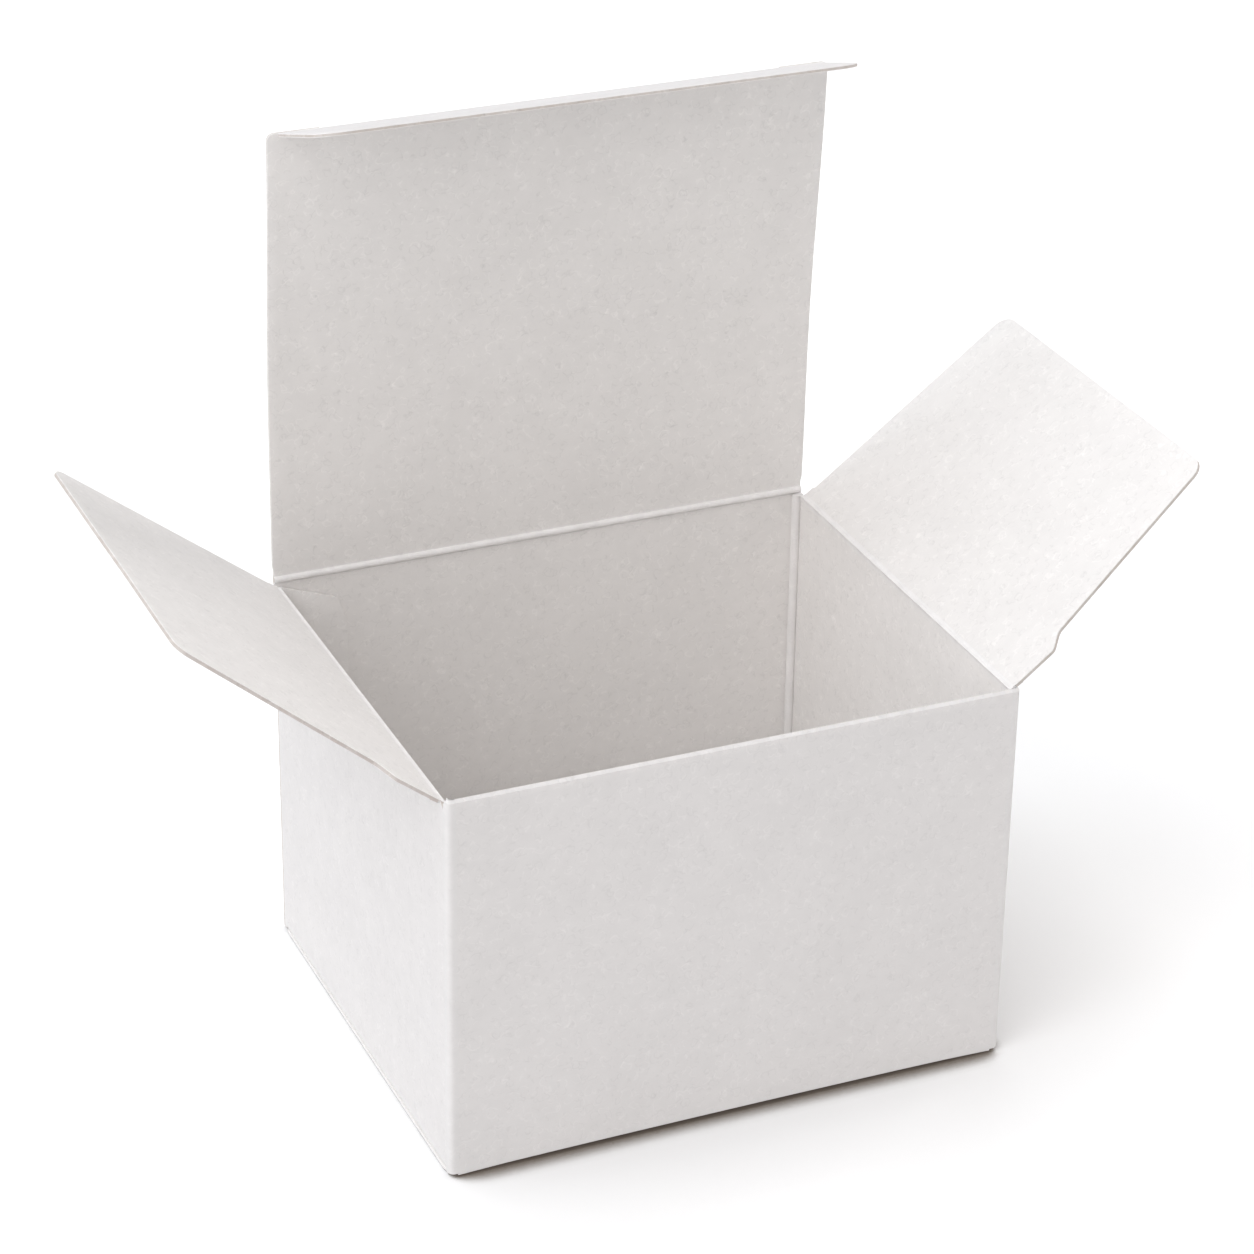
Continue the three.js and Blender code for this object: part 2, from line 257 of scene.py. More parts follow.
def cut_board(
    name, corners, joints, wear_and_highlight_width=1.6 * mm, roll=0.1 * mm,
    liners=(inner_liner, outer_liner), rounds=2, swell=0.0,
):
    """Cuts a flat piece of board from its outline, with its inner face at z = 0 and its three layers in
    its cut edges. Joints are the lines, as an axis and a place, along which it runs on into a fold, so no
    cut shows there. The roll is how far the outer rim is pressed over, in a number of rounds, and the swell
    is how far the die has spread the board along its cut edges."""
    sheet = draw_outline(name, corners)
    round_corners(corners)
    for axis in (across_x, up_y):
        places = [corner[axis] for corner in corners]
        low, high = min(places), max(places)
        strips = max(2, round((high - low) / (9 * mm)))
        lines = {low + (high - low) * i / strips for i in range(1, strips)}
        for line in sorted(lines | {low + wear_and_highlight_width, high - wear_and_highlight_width}):
            bisect(axis, line)

    bpy.ops.mesh.select_mode(type="FACE")
    bpy.ops.mesh.select_all(action="SELECT")
    middle = board - liners[0] - liners[1]
    for layer in (liners[0], middle, liners[1]):
        bpy.ops.mesh.extrude_region_move(TRANSFORM_OT_translate={"value": (0, 0, layer)})
    bpy.ops.mesh.select_all(action="SELECT")
    bpy.ops.mesh.normals_make_consistent(inside=False)

    def on_joint(places):
        return any(all(abs(place[axis] - line) < touch for place in places) for axis, line in joints)

    def free_rim(rim_z):
        def test(edge):
            ends = [vertex.co for vertex in edge.verts]
            if any(abs(end.z - rim_z) > touch for end in ends) or len(edge.link_faces) != 2:
                return False
            upright = [abs(face.normal.z) < 0.5 for face in edge.link_faces]
            return any(upright) and not all(upright) and not on_joint(ends)
        return test

    if swell:
        select("VERT", lambda vertex: vertex.co.z > board / 2 and not on_joint([vertex.co]) and any(
            abs(face.normal.z) < 0.5 and not on_joint([corner.co for corner in face.verts])
            for face in vertex.link_faces))
        bpy.ops.transform.translate(value=(0, 0, swell))

    inner_roll = min(0.08 * mm, 0.8 * liners[0])
    for rim_z, size, steps in ((board + swell, min(roll, liners[1]), rounds), (0, inner_roll, 2)):
        select("EDGE", free_rim(rim_z))
        bpy.ops.mesh.bevel(affect="EDGES", offset=size, segments=steps)
    bpy.ops.object.mode_set(mode="OBJECT")

    for made in (outside_paper, middle_paper, inside_paper):
        sheet.data.materials.append(made)
    cut = []
    for face in sheet.data.polygons:
        side = abs(face.normal.z) < 0.15
        in_middle = liners[0] < face.center.z < board + swell - liners[1]
        ends = [sheet.data.vertices[i].co for i in face.vertices]
        if side and in_middle:
            face.material_index = 1
            if not on_joint(ends):
                flat = sorted(ends, key=lambda end: (end.xy - ends[0].xy).length)
                cut.append((flat[0].xy.copy(), flat[-1].xy.copy()))
        elif face.center.z < board / 2:
            face.material_index = 2
    # Lighter along the cut edges: wear, and a painted highlight on the rims.
    mark_wear_and_highlight(sheet, lambda place: 1 - gap_to(place.xy, cut) / wear_and_highlight_width)
    return sheet


def gap_to(place, segments):
    """How far a place is from the nearest of some straight lines."""
    nearest = math.inf
    for here, there in segments:
        run = there - here
        share = max(0.0, min(1.0, (place - here).dot(run) / max(run.length_squared, touch * touch)))
        nearest = min(nearest, (place - here - run * share).length)
    return nearest


def mark_wear_and_highlight(piece, rule):
    """Writes how much of the lighter colour each place takes, from 0 to 1, for edge wear and handling and
    for painted highlight.
    """
    marks = piece.data.attributes.new("wear_and_highlight", "FLOAT", "POINT")
    values = [max(0.0, min(1.0, rule(vertex.co))) for vertex in piece.data.vertices]
    marks.data.foreach_set("value", values)


def bow(piece, place, rise, reach):
    """Bends a flat piece gently: it rises at a place, and the rise dies out over a reach."""
    bpy.ops.object.mode_set(mode="EDIT")
    nearest = min((vertex.co.xy for vertex in piece.data.vertices), key=lambda co: (co - place).length)
    select("VERT", lambda vertex: (vertex.co.xy - nearest).length < touch)
    bpy.ops.transform.translate(
        value=(0, 0, rise), use_proportional_edit=True,
        proportional_edit_falloff="SMOOTH", proportional_size=reach,
    )
    bpy.ops.object.mode_set(mode="OBJECT")


def set_in_place(piece, origin, along, outward):
    """Stands a flat piece in the carton: its y goes along, its z outward, and its origin stays at zero."""
    across = along.cross(outward)
    standing = Matrix((across, along, outward)).transposed().to_4x4()
    bpy.ops.object.select_all(action="DESELECT")
    piece.select_set(True)
    bpy.context.view_layer.objects.active = piece
    piece.matrix_world = Matrix.Translation(origin) @ standing
    bpy.ops.object.transform_apply(location=True, rotation=True, scale=True)
    bpy.ops.object.shade_smooth_by_angle(angle=math.radians(32))


half_width, half_depth, height = 50 * mm, 42 * mm, 70 * mm
fold_x, fold_y = half_width - board, half_depth - board
land = 1.0 * mm
east, north, up = Vector((1, 0, 0)), Vector((0, 1, 0)), Vector((0, 0, 1))

front_half = fold_x - land
front_low = board + land
front_roll = 0.45 * mm
front = cut_board(
    "front_board",
    [(-front_half, front_low), (front_half, front_low), (front_half, height), (-front_half, height)],
    joints=[(across_x, -front_half), (across_x, front_half), (up_y, front_low)],
    roll=front_roll, liners=(inner_liner, front_roll), rounds=1,
)
bow(front, Vector((0, height / 2)), 0.22 * mm, 32 * mm)
set_in_place(front, -north * fold_y, up, -north)
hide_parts("front_panel")
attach(front, "walls")

# Side panels. The two short walls, which run on into a fold on all four sides: the corners at front
# and back, and a dust flap at the top and the bottom. The left one stops short at the back, because
# its corner there turns inside the back panel.
lid_clearance, glue_thickness = 0.2 * mm, 0.1 * mm
dust_fold_z = height - board - lid_clearance - board
low_dust_z = height - dust_fold_z
glue_fold_y = fold_y - glue_thickness - board
side_low, side_high = low_dust_z + land, dust_fold_z - land

for name, node, side, ends in (
    ("left_board", "left_panel", -1, (-fold_y + land, glue_fold_y - land)),
    ("right_board", "right_panel", 1, (-fold_y + land, fold_y - land)),
):
    low, high = sorted(side * end for end in ends)
    wall = cut_board(
        name, [(low, side_low), (high, side_low), (high, side_high), (low, side_high)],
        joints=[(across_x, low), (across_x, high), (up_y, side_low), (up_y, side_high)],
    )
    bow(wall, Vector((0, height / 2)), 0.25 * mm, 30 * mm)
    set_in_place(wall, east * side * fold_x, up, east * side)
    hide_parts(node)
    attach(wall, "walls")

# Back panel. The wall that the lid hangs on. It laps over the glue flap, so its left edge is a raw
# cut, a little short of the corner, and its bottom edge is raw too, where the bottom's tuck goes in.
back_left, back_right = half_width - 0.3 * mm, -(fold_x - land)
lid_fold_z = height - board
back = cut_board(
    "back_board",
    [(back_right, 0), (back_left, 0), (back_left, lid_fold_z - land), (back_right, lid_fold_z - land)],
    joints=[(across_x, back_right), (up_y, lid_fold_z - land)],
)
bow(back, Vector((-12 * mm, height / 2)), -0.2 * mm, 30 * mm)
set_in_place(back, north * fold_y, up, north)
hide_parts("back_panel")
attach(back, "walls")

# Upright corners. Scored folds: a steel rule has pressed the board into a groove, and where it
# bends the board bulges into a bead on the inside and wraps round in a tight curve outside.
# The folded papers' second colours are lighter: wear on the bend, and a painted highlight along it.
crease_paper = paper(
    "folded liner", srgb(233, 231, 230), wear_and_highlight_colour=srgb(234, 232, 231),
    fibres=0.5, dullness=0.74, relief=0.006 * mm,
)
crease_inside = paper(
    "folded inside", srgb(240, 238, 237), wear_and_highlight_colour=srgb(245, 243, 242),
    fibres=0.6, dullness=0.8, relief=0.01 * mm,
)


def smooth_step(share):
    """A share from 0 to 1 that starts and ends gently."""
    share = max(0.0, min(1.0, share))
    return share * share * (3 - 2 * share)


def turned(point, angle):
    """A point swung round (0, 0), against the clock."""
    return (
        point[0] * math.cos(angle) - point[1] * math.sin(angle),
        point[0] * math.sin(angle) + point[1] * math.cos(angle),
    )


def fold_section(bend, after, groove=0.0, outer_radius=board, crack=0.16 * mm, bead=board, cord=0.0):
    """The outline of a fold's section, with the fold's axis at (0, 0). The carrying panel runs off along
    -y, with its outer face towards +x. A bend above zero turns the next panel inwards, and below zero
    outwards. The crack is the width of the groove inside, where the bead's foot has parted from the
    panel's face. With a cord, the bead stands out of the corner as a round of that radius."""
    steps = 8
    spread = (outer_radius - board) * math.tan(max(bend, 0) / 2)
    outer = [(board, -land), (board, -spread)]
    centre = (board - outer_radius, -spread)
    arc_steps = max(0, round(bend / math.radians(9)))
    for i in range(1, arc_steps + 1):
        reach = turned((outer_radius, 0), bend * i / arc_steps)
        outer.append((centre[0] + reach[0], centre[1] + reach[1]))

    def lean(reach):
        return bend if bend > 0 else bend * smooth_step(reach / after)

    for i in range(1, steps + 1):
        reach = spread + (after - spread) * i / steps
        dip = groove * math.sin(math.pi * i / steps) ** 2
        outer.append(turned((board - dip, reach), lean(reach)))
    inner_reaches = (after,) if cord else (after, (after + bead) / 2)
    inner = [turned((0, reach), lean(reach)) for reach in inner_reaches]
    if cord:
        sunk, cord_steps = 0.74 * cord, 14
        opening = math.acos(sunk / cord)
        first, last = math.pi / 2 + opening, 2 * math.pi - opening
        inner += [
            (-sunk + cord * math.cos(angle), -sunk + cord * math.sin(angle))
            for angle in (first + (last - first) * i / cord_steps for i in range(cord_steps + 1))
        ]
    elif bend > 0:
        bead_from, bead_to = math.pi / 2 + bend, 1.5 * math.pi
        bead_steps = max(5, round((bead_to - bead_from) / math.radians(12)))
        inner += [
            turned((bead, 0), bead_from + (bead_to - bead_from) * i / bead_steps)
            for i in range(bead_steps + 1)
        ]
        inner += [(crack * 0.7, -bead), (crack * 0.7, -bead - crack * 0.6), (0, -bead - crack)]
    else:
        # Folded back, the bead is drawn flat: a low ridge is left of it, round the outside of the bend.
        ridge_steps, ridge_height, ridge_foot = 10, 0.3 * mm, 0.4 * mm
        near_foot, far_foot = (0, -ridge_foot), turned((0, ridge_foot), bend)
        for i in range(ridge_steps + 1):
            share = 1 - i / ridge_steps
            lift = ridge_height * math.sin(math.pi * share) ** 2
            facing = turned((-lift, 0), bend * share)
            inner.append(tuple(
                near * (1 - share) ** 2 + far * share ** 2 + raised
                for near, far, raised in zip(near_foot, far_foot, facing)
            ))
    return outer + inner + [(0, -land)]


def score_fold(name, section, bend, length, rolled=False, far_paper=1):
    """A fold drawn from its section and drawn out to its length, with the board's middle showing in its
    ends. Its far end may show another paper: 0 is the outer liner, 1 the middle and 2 the inside. A rolled
    one has its far end's outer rim pressed over like the front panel's top edge."""
    fold = draw_outline(name, section)
    bpy.ops.mesh.select_mode(type="FACE")
    bpy.ops.mesh.select_all(action="SELECT")
    cuts = 12
    for _ in range(cuts):
        bpy.ops.mesh.extrude_region_move(TRANSFORM_OT_translate={"value": (0, 0, length / cuts)})
    bpy.ops.mesh.select_all(action="SELECT")
    bpy.ops.mesh.normals_make_consistent(inside=False)

    def outside(normal):
        slack = math.radians(20)
        return min(0, bend) - slack < math.atan2(normal.y, normal.x) < max(0, bend) + slack

    if rolled:
        select("EDGE", lambda edge: all(vertex.co.z > length - touch for vertex in edge.verts)
               and any(abs(face.normal.z) < 0.5 and outside(face.normal) for face in edge.link_faces)
               and any(face.normal.z > 0.5 for face in edge.link_faces))
        bpy.ops.mesh.bevel(affect="EDGES", offset=front_roll, segments=1)
        select("FACE", lambda face: face.normal.z > 0.9 and len(face.verts) > 4)
        for _ in range(2):
            bpy.ops.mesh.inset(thickness=0.04 * mm, use_individual=True)
        select("FACE", lambda face: face.normal.z < -0.9 and len(face.verts) > 4)
    else:
        select("FACE", lambda face: abs(face.normal.z) > 0.9 and len(face.verts) > 4)
    bpy.ops.mesh.inset(thickness=inner_liner, use_individual=True)
    bpy.ops.object.mode_set(mode="OBJECT")
    for made in (crease_paper, middle_paper, crease_inside):
        fold.data.materials.append(made)
    for face in fold.data.polygons:
        if abs(face.normal.z) > 0.9:
            in_end = len(face.vertices) > 4
            face.material_index = 0 if not in_end else 1 if face.normal.z < 0 else far_paper
        elif not outside(face.normal) and face.normal.z < 0.2:
            face.material_index = 2
    # Lighter round the bend: wear, and a painted highlight along the fold.
    mark_wear_and_highlight(fold, lambda place: 1 - (place.xy.length - board) / (0.4 * mm))
    return fold


corner_bend = math.pi / 2
corner_radius = 1.0 * mm
corner_drop = 0.7 * mm
pressed, plump = {"bead": 0.3 * mm, "crack": 0.1 * mm}, {"cord": 0.8 * mm}
back_low_z = low_dust_z - board
for name, place, outward, onward, low, high, shape in (
    ("front_left", (-fold_x, -fold_y), -east, -north, board, height, pressed),
    ("front_right", (fold_x, -fold_y), -north, east, board, height, pressed),
    ("back_right", (fold_x, fold_y), east, north, back_low_z, dust_fold_z + 0.1 * mm, plump),
    ("back_left", (-fold_x, glue_fold_y), north, -east, back_low_z, dust_fold_z - board, pressed),
):
    section = fold_section(corner_bend, land, outer_radius=corner_radius, **shape)
    in_front = high == height
    corner = score_fold(
        name + "_corner", section, corner_bend, high - low, rolled=in_front, far_paper=0 if in_front else 2,
    )
    set_in_place(corner, Vector((*place, low)), onward, up)
    if in_front:
        # Past the bend its top falls away to the dust flap's crease, which leaves room for the lid.
        bpy.ops.object.mode_set(mode="EDIT")
        select("VERT", lambda vertex: vertex.co.z > height - front_roll - touch
               and vertex.co.y > -fold_y + land - 0.1 * mm)
        bpy.ops.transform.translate(value=(0, 0, -corner_drop))
        bpy.ops.object.mode_set(mode="OBJECT")
    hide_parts(name + "_fold")
    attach(corner, "walls")

# Glued seam. A strip left on the left wall, cut with slanting ends, turned in behind the back panel
# and held there by a thin bead of water-based glue that has dried clear and a little yellow.
strip_root, strip_tip = land, 12.6 * mm
strip_low, strip_high = low_dust_z + board, dust_fold_z - board
bend_in, bend_y, bend_round = 3.6 * mm, strip_tip - 1.9 * mm, 1 * mm
point_in, point_round = 8.6 * mm, 3 * mm
strip = cut_board(
    "glue_strip",
    [
        (strip_low, strip_root), (strip_high, strip_root),
        (strip_high - bend_in, bend_y, bend_round), (strip_high - point_in, strip_tip, point_round),
        (strip_low + point_in, strip_tip, point_round), (strip_low + bend_in, bend_y, bend_round),
    ],
    joints=[(up_y, strip_root)], wear_and_highlight_width=0.8 * mm, liners=(0.24 * mm, 0.24 * mm),
)
# The glue has drawn its far edge flat against the back panel, all but near the corners.
drawn_flat = 0.42 * mm
bpy.ops.object.mode_set(mode="EDIT")
select("VERT", lambda vertex: vertex.co.z < board / 2 and vertex.co.y > strip_tip - 0.2 * mm
       and strip_low + 10 * mm < vertex.co.x < strip_high - 9 * mm)
bpy.ops.transform.translate(
    value=(0, 0, drawn_flat), use_proportional_edit=True,
    proportional_edit_falloff="SMOOTH", proportional_size=4 * mm,
)
bpy.ops.object.mode_set(mode="OBJECT")
set_in_place(strip, Vector((-fold_x, glue_fold_y, 0)), east, north)
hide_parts("glue_flap")
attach(strip, "walls")

dried_glue = bpy.data.materials.new("dried glue")
dried_glue.use_nodes = True
glue_shader = dried_glue.node_tree.nodes["Principled BSDF"]
glue_place = add_node(dried_glue.node_tree, "TexCoord").outputs["Object"]
glue_waves = add_node(dried_glue.node_tree, "TexNoise", {
    "Vector": glue_place, "Scale": 420.0, "Detail": 3.0,
})
glue_gloss = add_node(dried_glue.node_tree, "MapRange", {
    "Value": glue_waves.outputs["Fac"], "From Min": 0.3, "From Max": 0.7, "To Min": 0.25, "To Max": 0.5,
}).outputs[0]
glue_bump = add_node(dried_glue.node_tree, "Bump", {
    "Height": glue_waves.outputs["Fac"], "Distance": 0.02 * mm,
})
glue_colour = add_node(dried_glue.node_tree, "Mix", {
    0: glue_waves.outputs["Fac"], 6: srgb(226, 216, 186), 7: srgb(238, 232, 214),
}, data_type="RGBA").outputs[2]
dried_glue.node_tree.links.new(glue_colour, glue_shader.inputs["Base Color"])
dried_glue.node_tree.links.new(glue_gloss, glue_shader.inputs["Roughness"])
dried_glue.node_tree.links.new(glue_bump.outputs["Normal"], glue_shader.inputs["Normal"])

glue_ends_in, glue_sides_in, glue_round = 5.6 * mm, 1.4 * mm, 1.5 * mm
glue_low, glue_high = strip_low + glue_ends_in, strip_high - glue_ends_in
glue_near, glue_far = strip_root + glue_sides_in, strip_tip - glue_sides_in
glue_corners = [
    (glue_low, glue_near, glue_round), (glue_high, glue_near, glue_round),
    (glue_high, glue_far, glue_round), (glue_low, glue_far, glue_round),
]
glue = draw_outline("seam_glue", glue_corners)
round_corners(glue_corners)
bpy.ops.mesh.select_mode(type="FACE")
bpy.ops.mesh.select_all(action="SELECT")
bpy.ops.mesh.extrude_region_move(TRANSFORM_OT_translate={"value": (0, 0, glue_thickness)})
bpy.ops.mesh.select_all(action="SELECT")
bpy.ops.mesh.normals_make_consistent(inside=False)
bpy.ops.object.mode_set(mode="OBJECT")
glue.data.materials.append(dried_glue)
set_in_place(glue, Vector((-fold_x, glue_fold_y + board, 0)), east, north)
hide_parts("glue_layer")
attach(glue, "walls")

# Lid. It hangs on the back panel by a scored fold that springs back a little, so it stands open and
# leans forward. Its board has kept a slight curl. At each end of its free edge a slit lets the raw
# edge stand proud of the tuck's fold, and locks against the front panel's corners when shut.
fold_gap = 0.3 * mm
leaf_start = board + fold_gap
slit_x = half_width - 9 * mm


def leaf_outline(reach):
    """The lid's outline, which the bottom panel shares: small reliefs at its hinge, and a slit at each free
    corner."""
    relief, relief_length, corner_round, proud = 0.2 * mm, 0.8 * mm, 1.2 * mm, reach + board
    right = [
        (half_width - relief, leaf_start), (half_width - relief, leaf_start + relief_length, relief),
        (half_width, leaf_start + 2 * relief_length, relief), (half_width, proud, corner_round),
        (slit_x, proud), (slit_x, reach - land),
    ]
    return right + [(-corner[0], *corner[1:]) for corner in reversed(right)]


def direction(outward, onward, bend):
    """Which way the next panel goes from a fold, and which way its outer face looks."""
    along = onward * math.cos(bend) - outward * math.sin(bend)
    return along, outward * math.cos(bend) + onward * math.sin(bend)


def hang(name, node, origin, outward, onward, bend, length, trims=(0.0, 0.0), rise=0.0):
    """A fold that a panel swings on. It bends between its two bodies, and its moving side can be cut back
    at each end. The rise is how far its middle has come up from the table that its ends stand on."""
    fold = score_fold(name, fold_section(bend, leaf_start, groove=0.07 * mm), bend, length)
    moving_side = Vector(turned((board / 2, leaf_start), bend))
    for end, trim in zip((0, length), trims):
        if not trim:
            continue
        bpy.ops.object.mode_set(mode="EDIT")
        select("VERT", lambda vertex: abs(vertex.co.z - end) < touch
               and (vertex.co.xy - moving_side).length < 0.75 * board)
        bpy.ops.transform.translate(
            value=(0, 0, trim if end == 0 else -trim), use_proportional_edit=True,
            proportional_edit_falloff="SMOOTH", proportional_size=1.1 * mm,
        )
        bpy.ops.object.mode_set(mode="OBJECT")
    set_in_place(fold, origin, onward, outward.cross(onward))
    if rise:
        bpy.ops.object.mode_set(mode="EDIT")
        select("VERT", lambda vertex: abs(vertex.co.x) < touch)
        bpy.ops.transform.resize(
            value=(1, 1, 1 - rise / (origin.z + land)), center_override=origin + up * land,
            use_proportional_edit=True,
            proportional_edit_falloff="SPHERE", proportional_size=0.49 * length,
        )
        bpy.ops.object.mode_set(mode="OBJECT")
    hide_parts(node)
    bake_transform(fold)
    return fold


lid_bend = math.radians(3)
lid_reach, lid_curl = 81.4 * mm, 1.0 * mm
lid_hinge = Vector((0, fold_y, lid_fold_z))
lid_way, lid_out = direction(north, up, lid_bend)
lid_half = half_width - 0.2 * mm
hang("lid_crease", "lid_fold", lid_hinge - east * lid_half, north, up, lid_bend, 2 * lid_half)
lid = cut_board(
    "lid_board", leaf_outline(lid_reach), joints=[(up_y, leaf_start), (up_y, lid_reach - land)],
    liners=(0.21 * mm, 0.21 * mm),
)
bpy.ops.object.mode_set(mode="EDIT")
lid_rows = {round(vertex.co.y, 6) for vertex in lid.data.vertices}
middle_row = min(sorted(lid_rows), key=lambda y: abs(y - lid_reach / 2))
select("VERT", lambda vertex: abs(vertex.co.y - middle_row) < touch)
bpy.ops.transform.translate(
    value=(0, 0, lid_curl), use_proportional_edit=True,
    proportional_edit_falloff="SMOOTH", proportional_size=0.47 * lid_reach,
)
bpy.ops.object.mode_set(mode="OBJECT")
# Along its right-hand edge the slanted faces of the inner rim take the board middle's grey-brown colour, a
# dark line along that edge.
for face in lid.data.polygons:
    if face.center.x < 0.1 * mm - half_width and -0.97 < face.normal.z < -0.1:
        face.material_index = 1
set_in_place(lid, lid_hinge, lid_way, lid_out)
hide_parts("lid_panel")
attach(lid, "lid")

# The lid's tuck. It is folded on a score between the two slits and goes down inside the front panel,
# so its corners are cut to a large round to find their way in.
tuck_depth = 20.5 * mm


def tuck_outline(depth):
    """A tuck's outline, wide at once past the slits and a little narrower at its tip."""
    side_gap, slit_gap, taper, tip_round = 0.4 * mm, 0.2 * mm, 0.8 * mm, 5.6 * mm
    half = fold_x - board - side_gap
    right = [
        (slit_x, leaf_start), (slit_x, leaf_start + slit_gap), (half, leaf_start + slit_gap),
        (half - taper, depth, tip_round),
    ]
    return right + [(-corner[0], *corner[1:]) for corner in reversed(right)]


tuck_bend = math.radians(69)
tuck_hinge = lid_hinge + lid_way * lid_reach
tuck_way, tuck_out = direction(lid_out, lid_way, tuck_bend)
hang("lid_tuck_crease", "lid_tuck_fold", tuck_hinge - east * slit_x, lid_out, lid_way, tuck_bend,
     2 * slit_x)
tuck = cut_board("lid_tuck_board", tuck_outline(tuck_depth), joints=[(up_y, leaf_start)])
set_in_place(tuck, tuck_hinge, tuck_way, tuck_out)
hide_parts("lid_tuck")
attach(tuck, "lid_tuck")

# Top dust flaps. They fold in under the lid before it shuts. Each has a shoulder by the tuck and
# draws in past it, and a nick and a slight taper by the lid's hinge, so that it clears the folds.
flap_root, flap_tip = glue_fold_y - land - 0.1 * mm, fold_x - 0.3 * mm


def flap_outline(hand, shoulder):
    """A dust flap's outline. Its x runs towards the hinge of the panel that shuts over it when hand is 1."""
    nick_length, nick_depth, taper, tip_round = 1.5 * mm, 0.5 * mm, 1.5 * mm, 3 * mm
    step, slant = 2.6 * mm, 6.2 * mm
    shoulder_y, neck_y, shoulder_round, neck_round = 9.6 * mm, 12.4 * mm, 1.3 * mm, 2.6 * mm
    neck = -shoulder + step
    corners = [
        (flap_root, leaf_start), (flap_root, leaf_start + nick_length),
        (flap_root - nick_depth, leaf_start + nick_length + nick_depth),
        (flap_root - taper, flap_tip, tip_round), (neck + slant, flap_tip, tip_round),
        (neck, neck_y, neck_round), (-shoulder, shoulder_y, shoulder_round), (-shoulder, leaf_start),
    ]
    return [(hand * corner[0], *corner[1:]) for corner in corners]


dust_bend = math.radians(-52.1)
top_shoulder = 39.3 * mm
for name, crease_node, side, far in (
    ("top_left_dust", "top_left_fold", -1, glue_fold_y - land),
    ("top_right_dust", "top_right_fold", 1, fold_y - land),
):
    near = -fold_y + land
    hinge = Vector((side * fold_x, 0, dust_fold_z))
    way, out = direction(east * side, up, dust_bend)
    trims = [-top_shoulder - near, far - flap_root]
    first = far if side > 0 else near
    hang(name + "_crease", crease_node, hinge + north * first, east * side, up, dust_bend,
         far - near, trims if side < 0 else trims[::-1])
    flap = cut_board(
        name + "_board", flap_outline(side, top_shoulder), joints=[(up_y, leaf_start)],
        liners=(0.1 * mm, 0.1 * mm), swell=0.1 * mm,
    )
    bow(flap, Vector((0, 0.62 * flap_tip)), -0.4 * mm, 26 * mm)
    set_in_place(flap, hinge, way, out)
    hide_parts(name + "_flap")
    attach(flap, name)

# Bottom. The same closure turned over: a panel that hangs on the front wall, and a tuck that goes up
# inside the back. It carries what is packed, so it lies flat and shut.
bottom_bend = math.pi / 2
bottom_reach, bottom_rise = 81 * mm, 0.5 * mm
bottom_hinge = Vector((0, -fold_y, board))
bottom_way, bottom_out = direction(-north, -up, bottom_bend)
hang("bottom_crease", "bottom_fold", bottom_hinge - east * front_half, -north, -up, bottom_bend,
     2 * front_half, rise=bottom_rise)
bottom = cut_board(
    "bottom_board", leaf_outline(bottom_reach), joints=[(up_y, leaf_start), (up_y, bottom_reach - land)],
    liners=(0.295 * mm, 0.295 * mm),
)
bow(bottom, Vector((0, leaf_start)), -0.45 * mm, 46 * mm)
set_in_place(bottom, bottom_hinge, bottom_way, bottom_out)
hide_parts("bottom_panel")
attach(bottom, "bottom")

bottom_tuck_bend = math.radians(96)
bottom_tuck_hinge = bottom_hinge + bottom_way * bottom_reach
bottom_tuck_way, bottom_tuck_out = direction(bottom_out, bottom_way, bottom_tuck_bend)
bottom_tuck_depth = 15 * mm
hang("bottom_tuck_crease", "bottom_tuck_fold", bottom_tuck_hinge - east * slit_x, bottom_out, bottom_way,
     bottom_tuck_bend, 2 * slit_x)
bottom_tuck = cut_board("bottom_tuck_board", tuck_outline(bottom_tuck_depth), joints=[(up_y, leaf_start)])
set_in_place(bottom_tuck, bottom_tuck_hinge, bottom_tuck_way, bottom_tuck_out)
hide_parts("bottom_tuck")
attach(bottom_tuck, "bottom_tuck")

# Bottom dust flaps. They lie flat inside, on the shut bottom panel, and are cut like the top ones.
bottom_shoulder = 37.732 * mm
for name, crease_node, side, far in (
    ("bottom_left_dust", "bottom_left_fold", -1, glue_fold_y - land),
    ("bottom_right_dust", "bottom_right_fold", 1, fold_y - land),
):
    near = -fold_y + land
    hinge = Vector((side * fold_x, 0, low_dust_z))
    way, out = direction(east * side, -up, bottom_bend)
    trims = [-flap_root - near, far - bottom_shoulder]
    first = near if side > 0 else far
    hang(name + "_crease", crease_node, hinge + north * first, east * side, -up, bottom_bend,
         far - near, trims if side > 0 else trims[::-1])
    flap = cut_board(name + "_board", flap_outline(side, bottom_shoulder), joints=[(up_y, leaf_start)])
    set_in_place(flap, hinge, way, out)
    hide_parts(name + "_flap")
    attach(flap, name)

# The table it stands on. A plain sweep of matt white board, laid a little below the carton so that the two
# don't meet, with the carton's soft shadow on it, and round the carton's foot a painted shadow in its
# colour.
floor_size, floor_drop = 8, 0.2 * mm
bpy.ops.object.select_all(action="DESELECT")
bpy.ops.mesh.primitive_plane_add(size=floor_size, location=(0, 0, -floor_drop))
floor = bpy.context.object
floor.name = "floor"
floor_paint = bpy.data.materials.new("white sweep")
floor_paint.use_nodes = True
floor_tree = floor_paint.node_tree
seen = add_node(floor_tree, "LightPath").outputs["Is Camera Ray"]
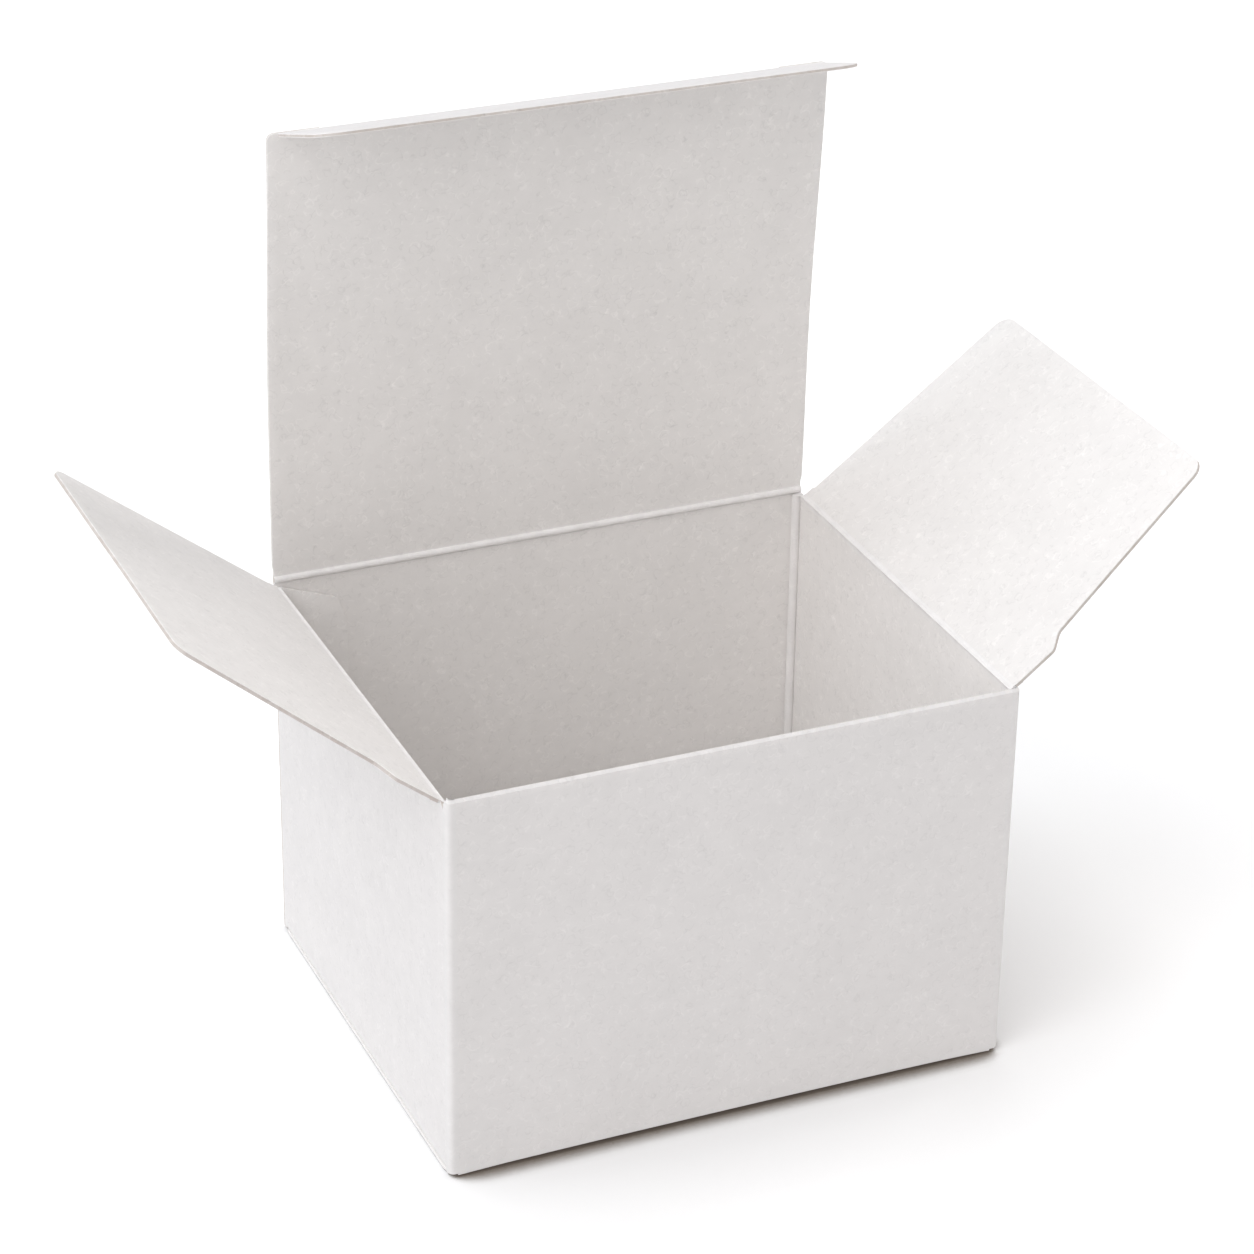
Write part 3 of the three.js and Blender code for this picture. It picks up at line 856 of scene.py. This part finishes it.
# Painted shadow: towards the carton's foot its colour darkens, as if cut off from the light that comes from
# behind on the left.
left_light = add_node(floor_tree, "CombineXYZ", {0: -0.35, 1: 0.15, 2: 0.92}).outputs[0]
back_light = add_node(floor_tree, "CombineXYZ", {0: -0.3, 1: 0.62, 2: 0.72}).outputs[0]
wide_gap = add_node(floor_tree, "AmbientOcclusion", {
    "Distance": 48 * mm, "Normal": left_light,
}).outputs["AO"]
near_gap = add_node(floor_tree, "AmbientOcclusion", {
    "Distance": 6.5 * mm, "Normal": back_light,
}).outputs["AO"]
wide_shade = add_node(floor_tree, "MapRange", {
    "Value": wide_gap, "To Min": 0.64, "To Max": 1.0,
}).outputs[0]
near_shade = add_node(floor_tree, "MapRange", {
    "Value": near_gap, "From Min": 0.34, "From Max": 0.64,
}, interpolation_type="SMOOTHSTEP").outputs[0]
# The painted shadow is deepest in the narrow gap under the carton's edges, tinted brown there like light
# bounced off the board.
shade = add_node(floor_tree, "Mix", {
    0: near_shade, 6: (0.22, 0.185, 0.155, 1.0), 7: (1.0, 1.0, 1.0, 1.0),
}, data_type="RGBA").outputs[2]
shade = add_node(floor_tree, "VectorMath", {0: shade, "Scale": wide_shade}, operation="SCALE").outputs[0]
painted_shadow_colour = add_node(floor_tree, "VectorMath", {0: shade, "Scale": 0.97}, operation="SCALE").outputs[0]
floor_colour = add_node(floor_tree, "Mix", {
    0: seen, 6: (0.8, 0.8, 0.8, 1.0), 7: painted_shadow_colour,
}, data_type="RGBA").outputs[2]
# The glow that lifts the floor to white for the camera carries the same painted shadow.
glow = add_node(floor_tree, "Math", {0: seen, 1: 0.13}, operation="MULTIPLY").outputs[0]
floor_shader = floor_tree.nodes["Principled BSDF"]
floor_tree.links.new(floor_colour, floor_shader.inputs["Base Color"])
floor_tree.links.new(shade, floor_shader.inputs["Emission Color"])
floor_tree.links.new(glow, floor_shader.inputs["Emission Strength"])
floor_shader.inputs["Roughness"].default_value = 1.0
floor_shader.inputs["Specular IOR Level"].default_value = 0.0
floor.data.materials.append(floor_paint)

# Studio light: an even white room and a ring of broad soft lamps. The two strongest stand in front on
# the left and on the right, a little warm, and the cooler ones stand behind and on the left.
world = bpy.data.worlds.new("white room")
bpy.context.scene.world = world
world.use_nodes = True
room = world.node_tree.nodes["Background"]
room.inputs["Color"].default_value = (1, 1, 1, 1)
seen_directly = add_node(world.node_tree, "LightPath").outputs["Is Camera Ray"]
room_light = add_node(world.node_tree, "MapRange", {
    "Value": seen_directly, "To Min": 0.3, "To Max": 1.0,
}).outputs[0]
world.node_tree.links.new(room_light, room.inputs["Strength"])

cool, warm = (0.965, 1.0, 1.045), (1.0, 0.958, 0.938)
lamp_spread = math.radians(60)
for name, bearing, climb, share, tint in (
    ("lamp behind", 180, 35, 0.18, cool), ("lamp on the left", -90, 25, 0.15, cool),
    ("lamp high on the left", -90, 55, 0.20, cool), ("lamp high behind left", -128, 60, 0.13, cool),
    ("lamp in front left", -45, 35, 0.325, warm), ("lamp on the right", 90, 25, 0.385, warm),
):
    bearing, climb = math.radians(bearing), math.radians(climb)
    towards = Vector((
        math.sin(bearing) * math.cos(climb), -math.cos(bearing) * math.cos(climb), math.sin(climb),
    ))
    bpy.ops.object.light_add(type="SUN", location=towards)
    lamp = bpy.context.object
    lamp.name = name
    lamp.data.angle = lamp_spread
    lamp.data.energy = math.pi * share
    lamp.data.color = tint
    lamp.rotation_euler = (-towards).to_track_quat("-Z", "Y").to_euler()

# The camera, where the photographer stood: in front, to the left, looking down on the open carton. Its
# place and its lens are those that best fit the carton's corners in the photograph.
look_at = Vector((-1.87, 0, 71.05)) * mm
from_left, from_above, tilt = math.radians(-23.581), math.radians(27.252), math.radians(0.846)
away = Vector((
    math.sin(from_left) * math.cos(from_above),
    -math.cos(from_left) * math.cos(from_above),
    math.sin(from_above),
))
distance = 647.55 * mm
bpy.ops.object.camera_add(location=look_at + away * distance)
camera = bpy.context.object
camera.rotation_euler = (
    (-away).to_track_quat("-Z", "Y").to_matrix() @ Matrix.Rotation(tilt, 3, "Z")
).to_euler()
camera.data.sensor_width = 36
camera.data.lens = 111.65
camera.data.clip_start = 0.01
bpy.context.scene.camera = camera
bpy.context.scene.view_settings.view_transform = "Standard"
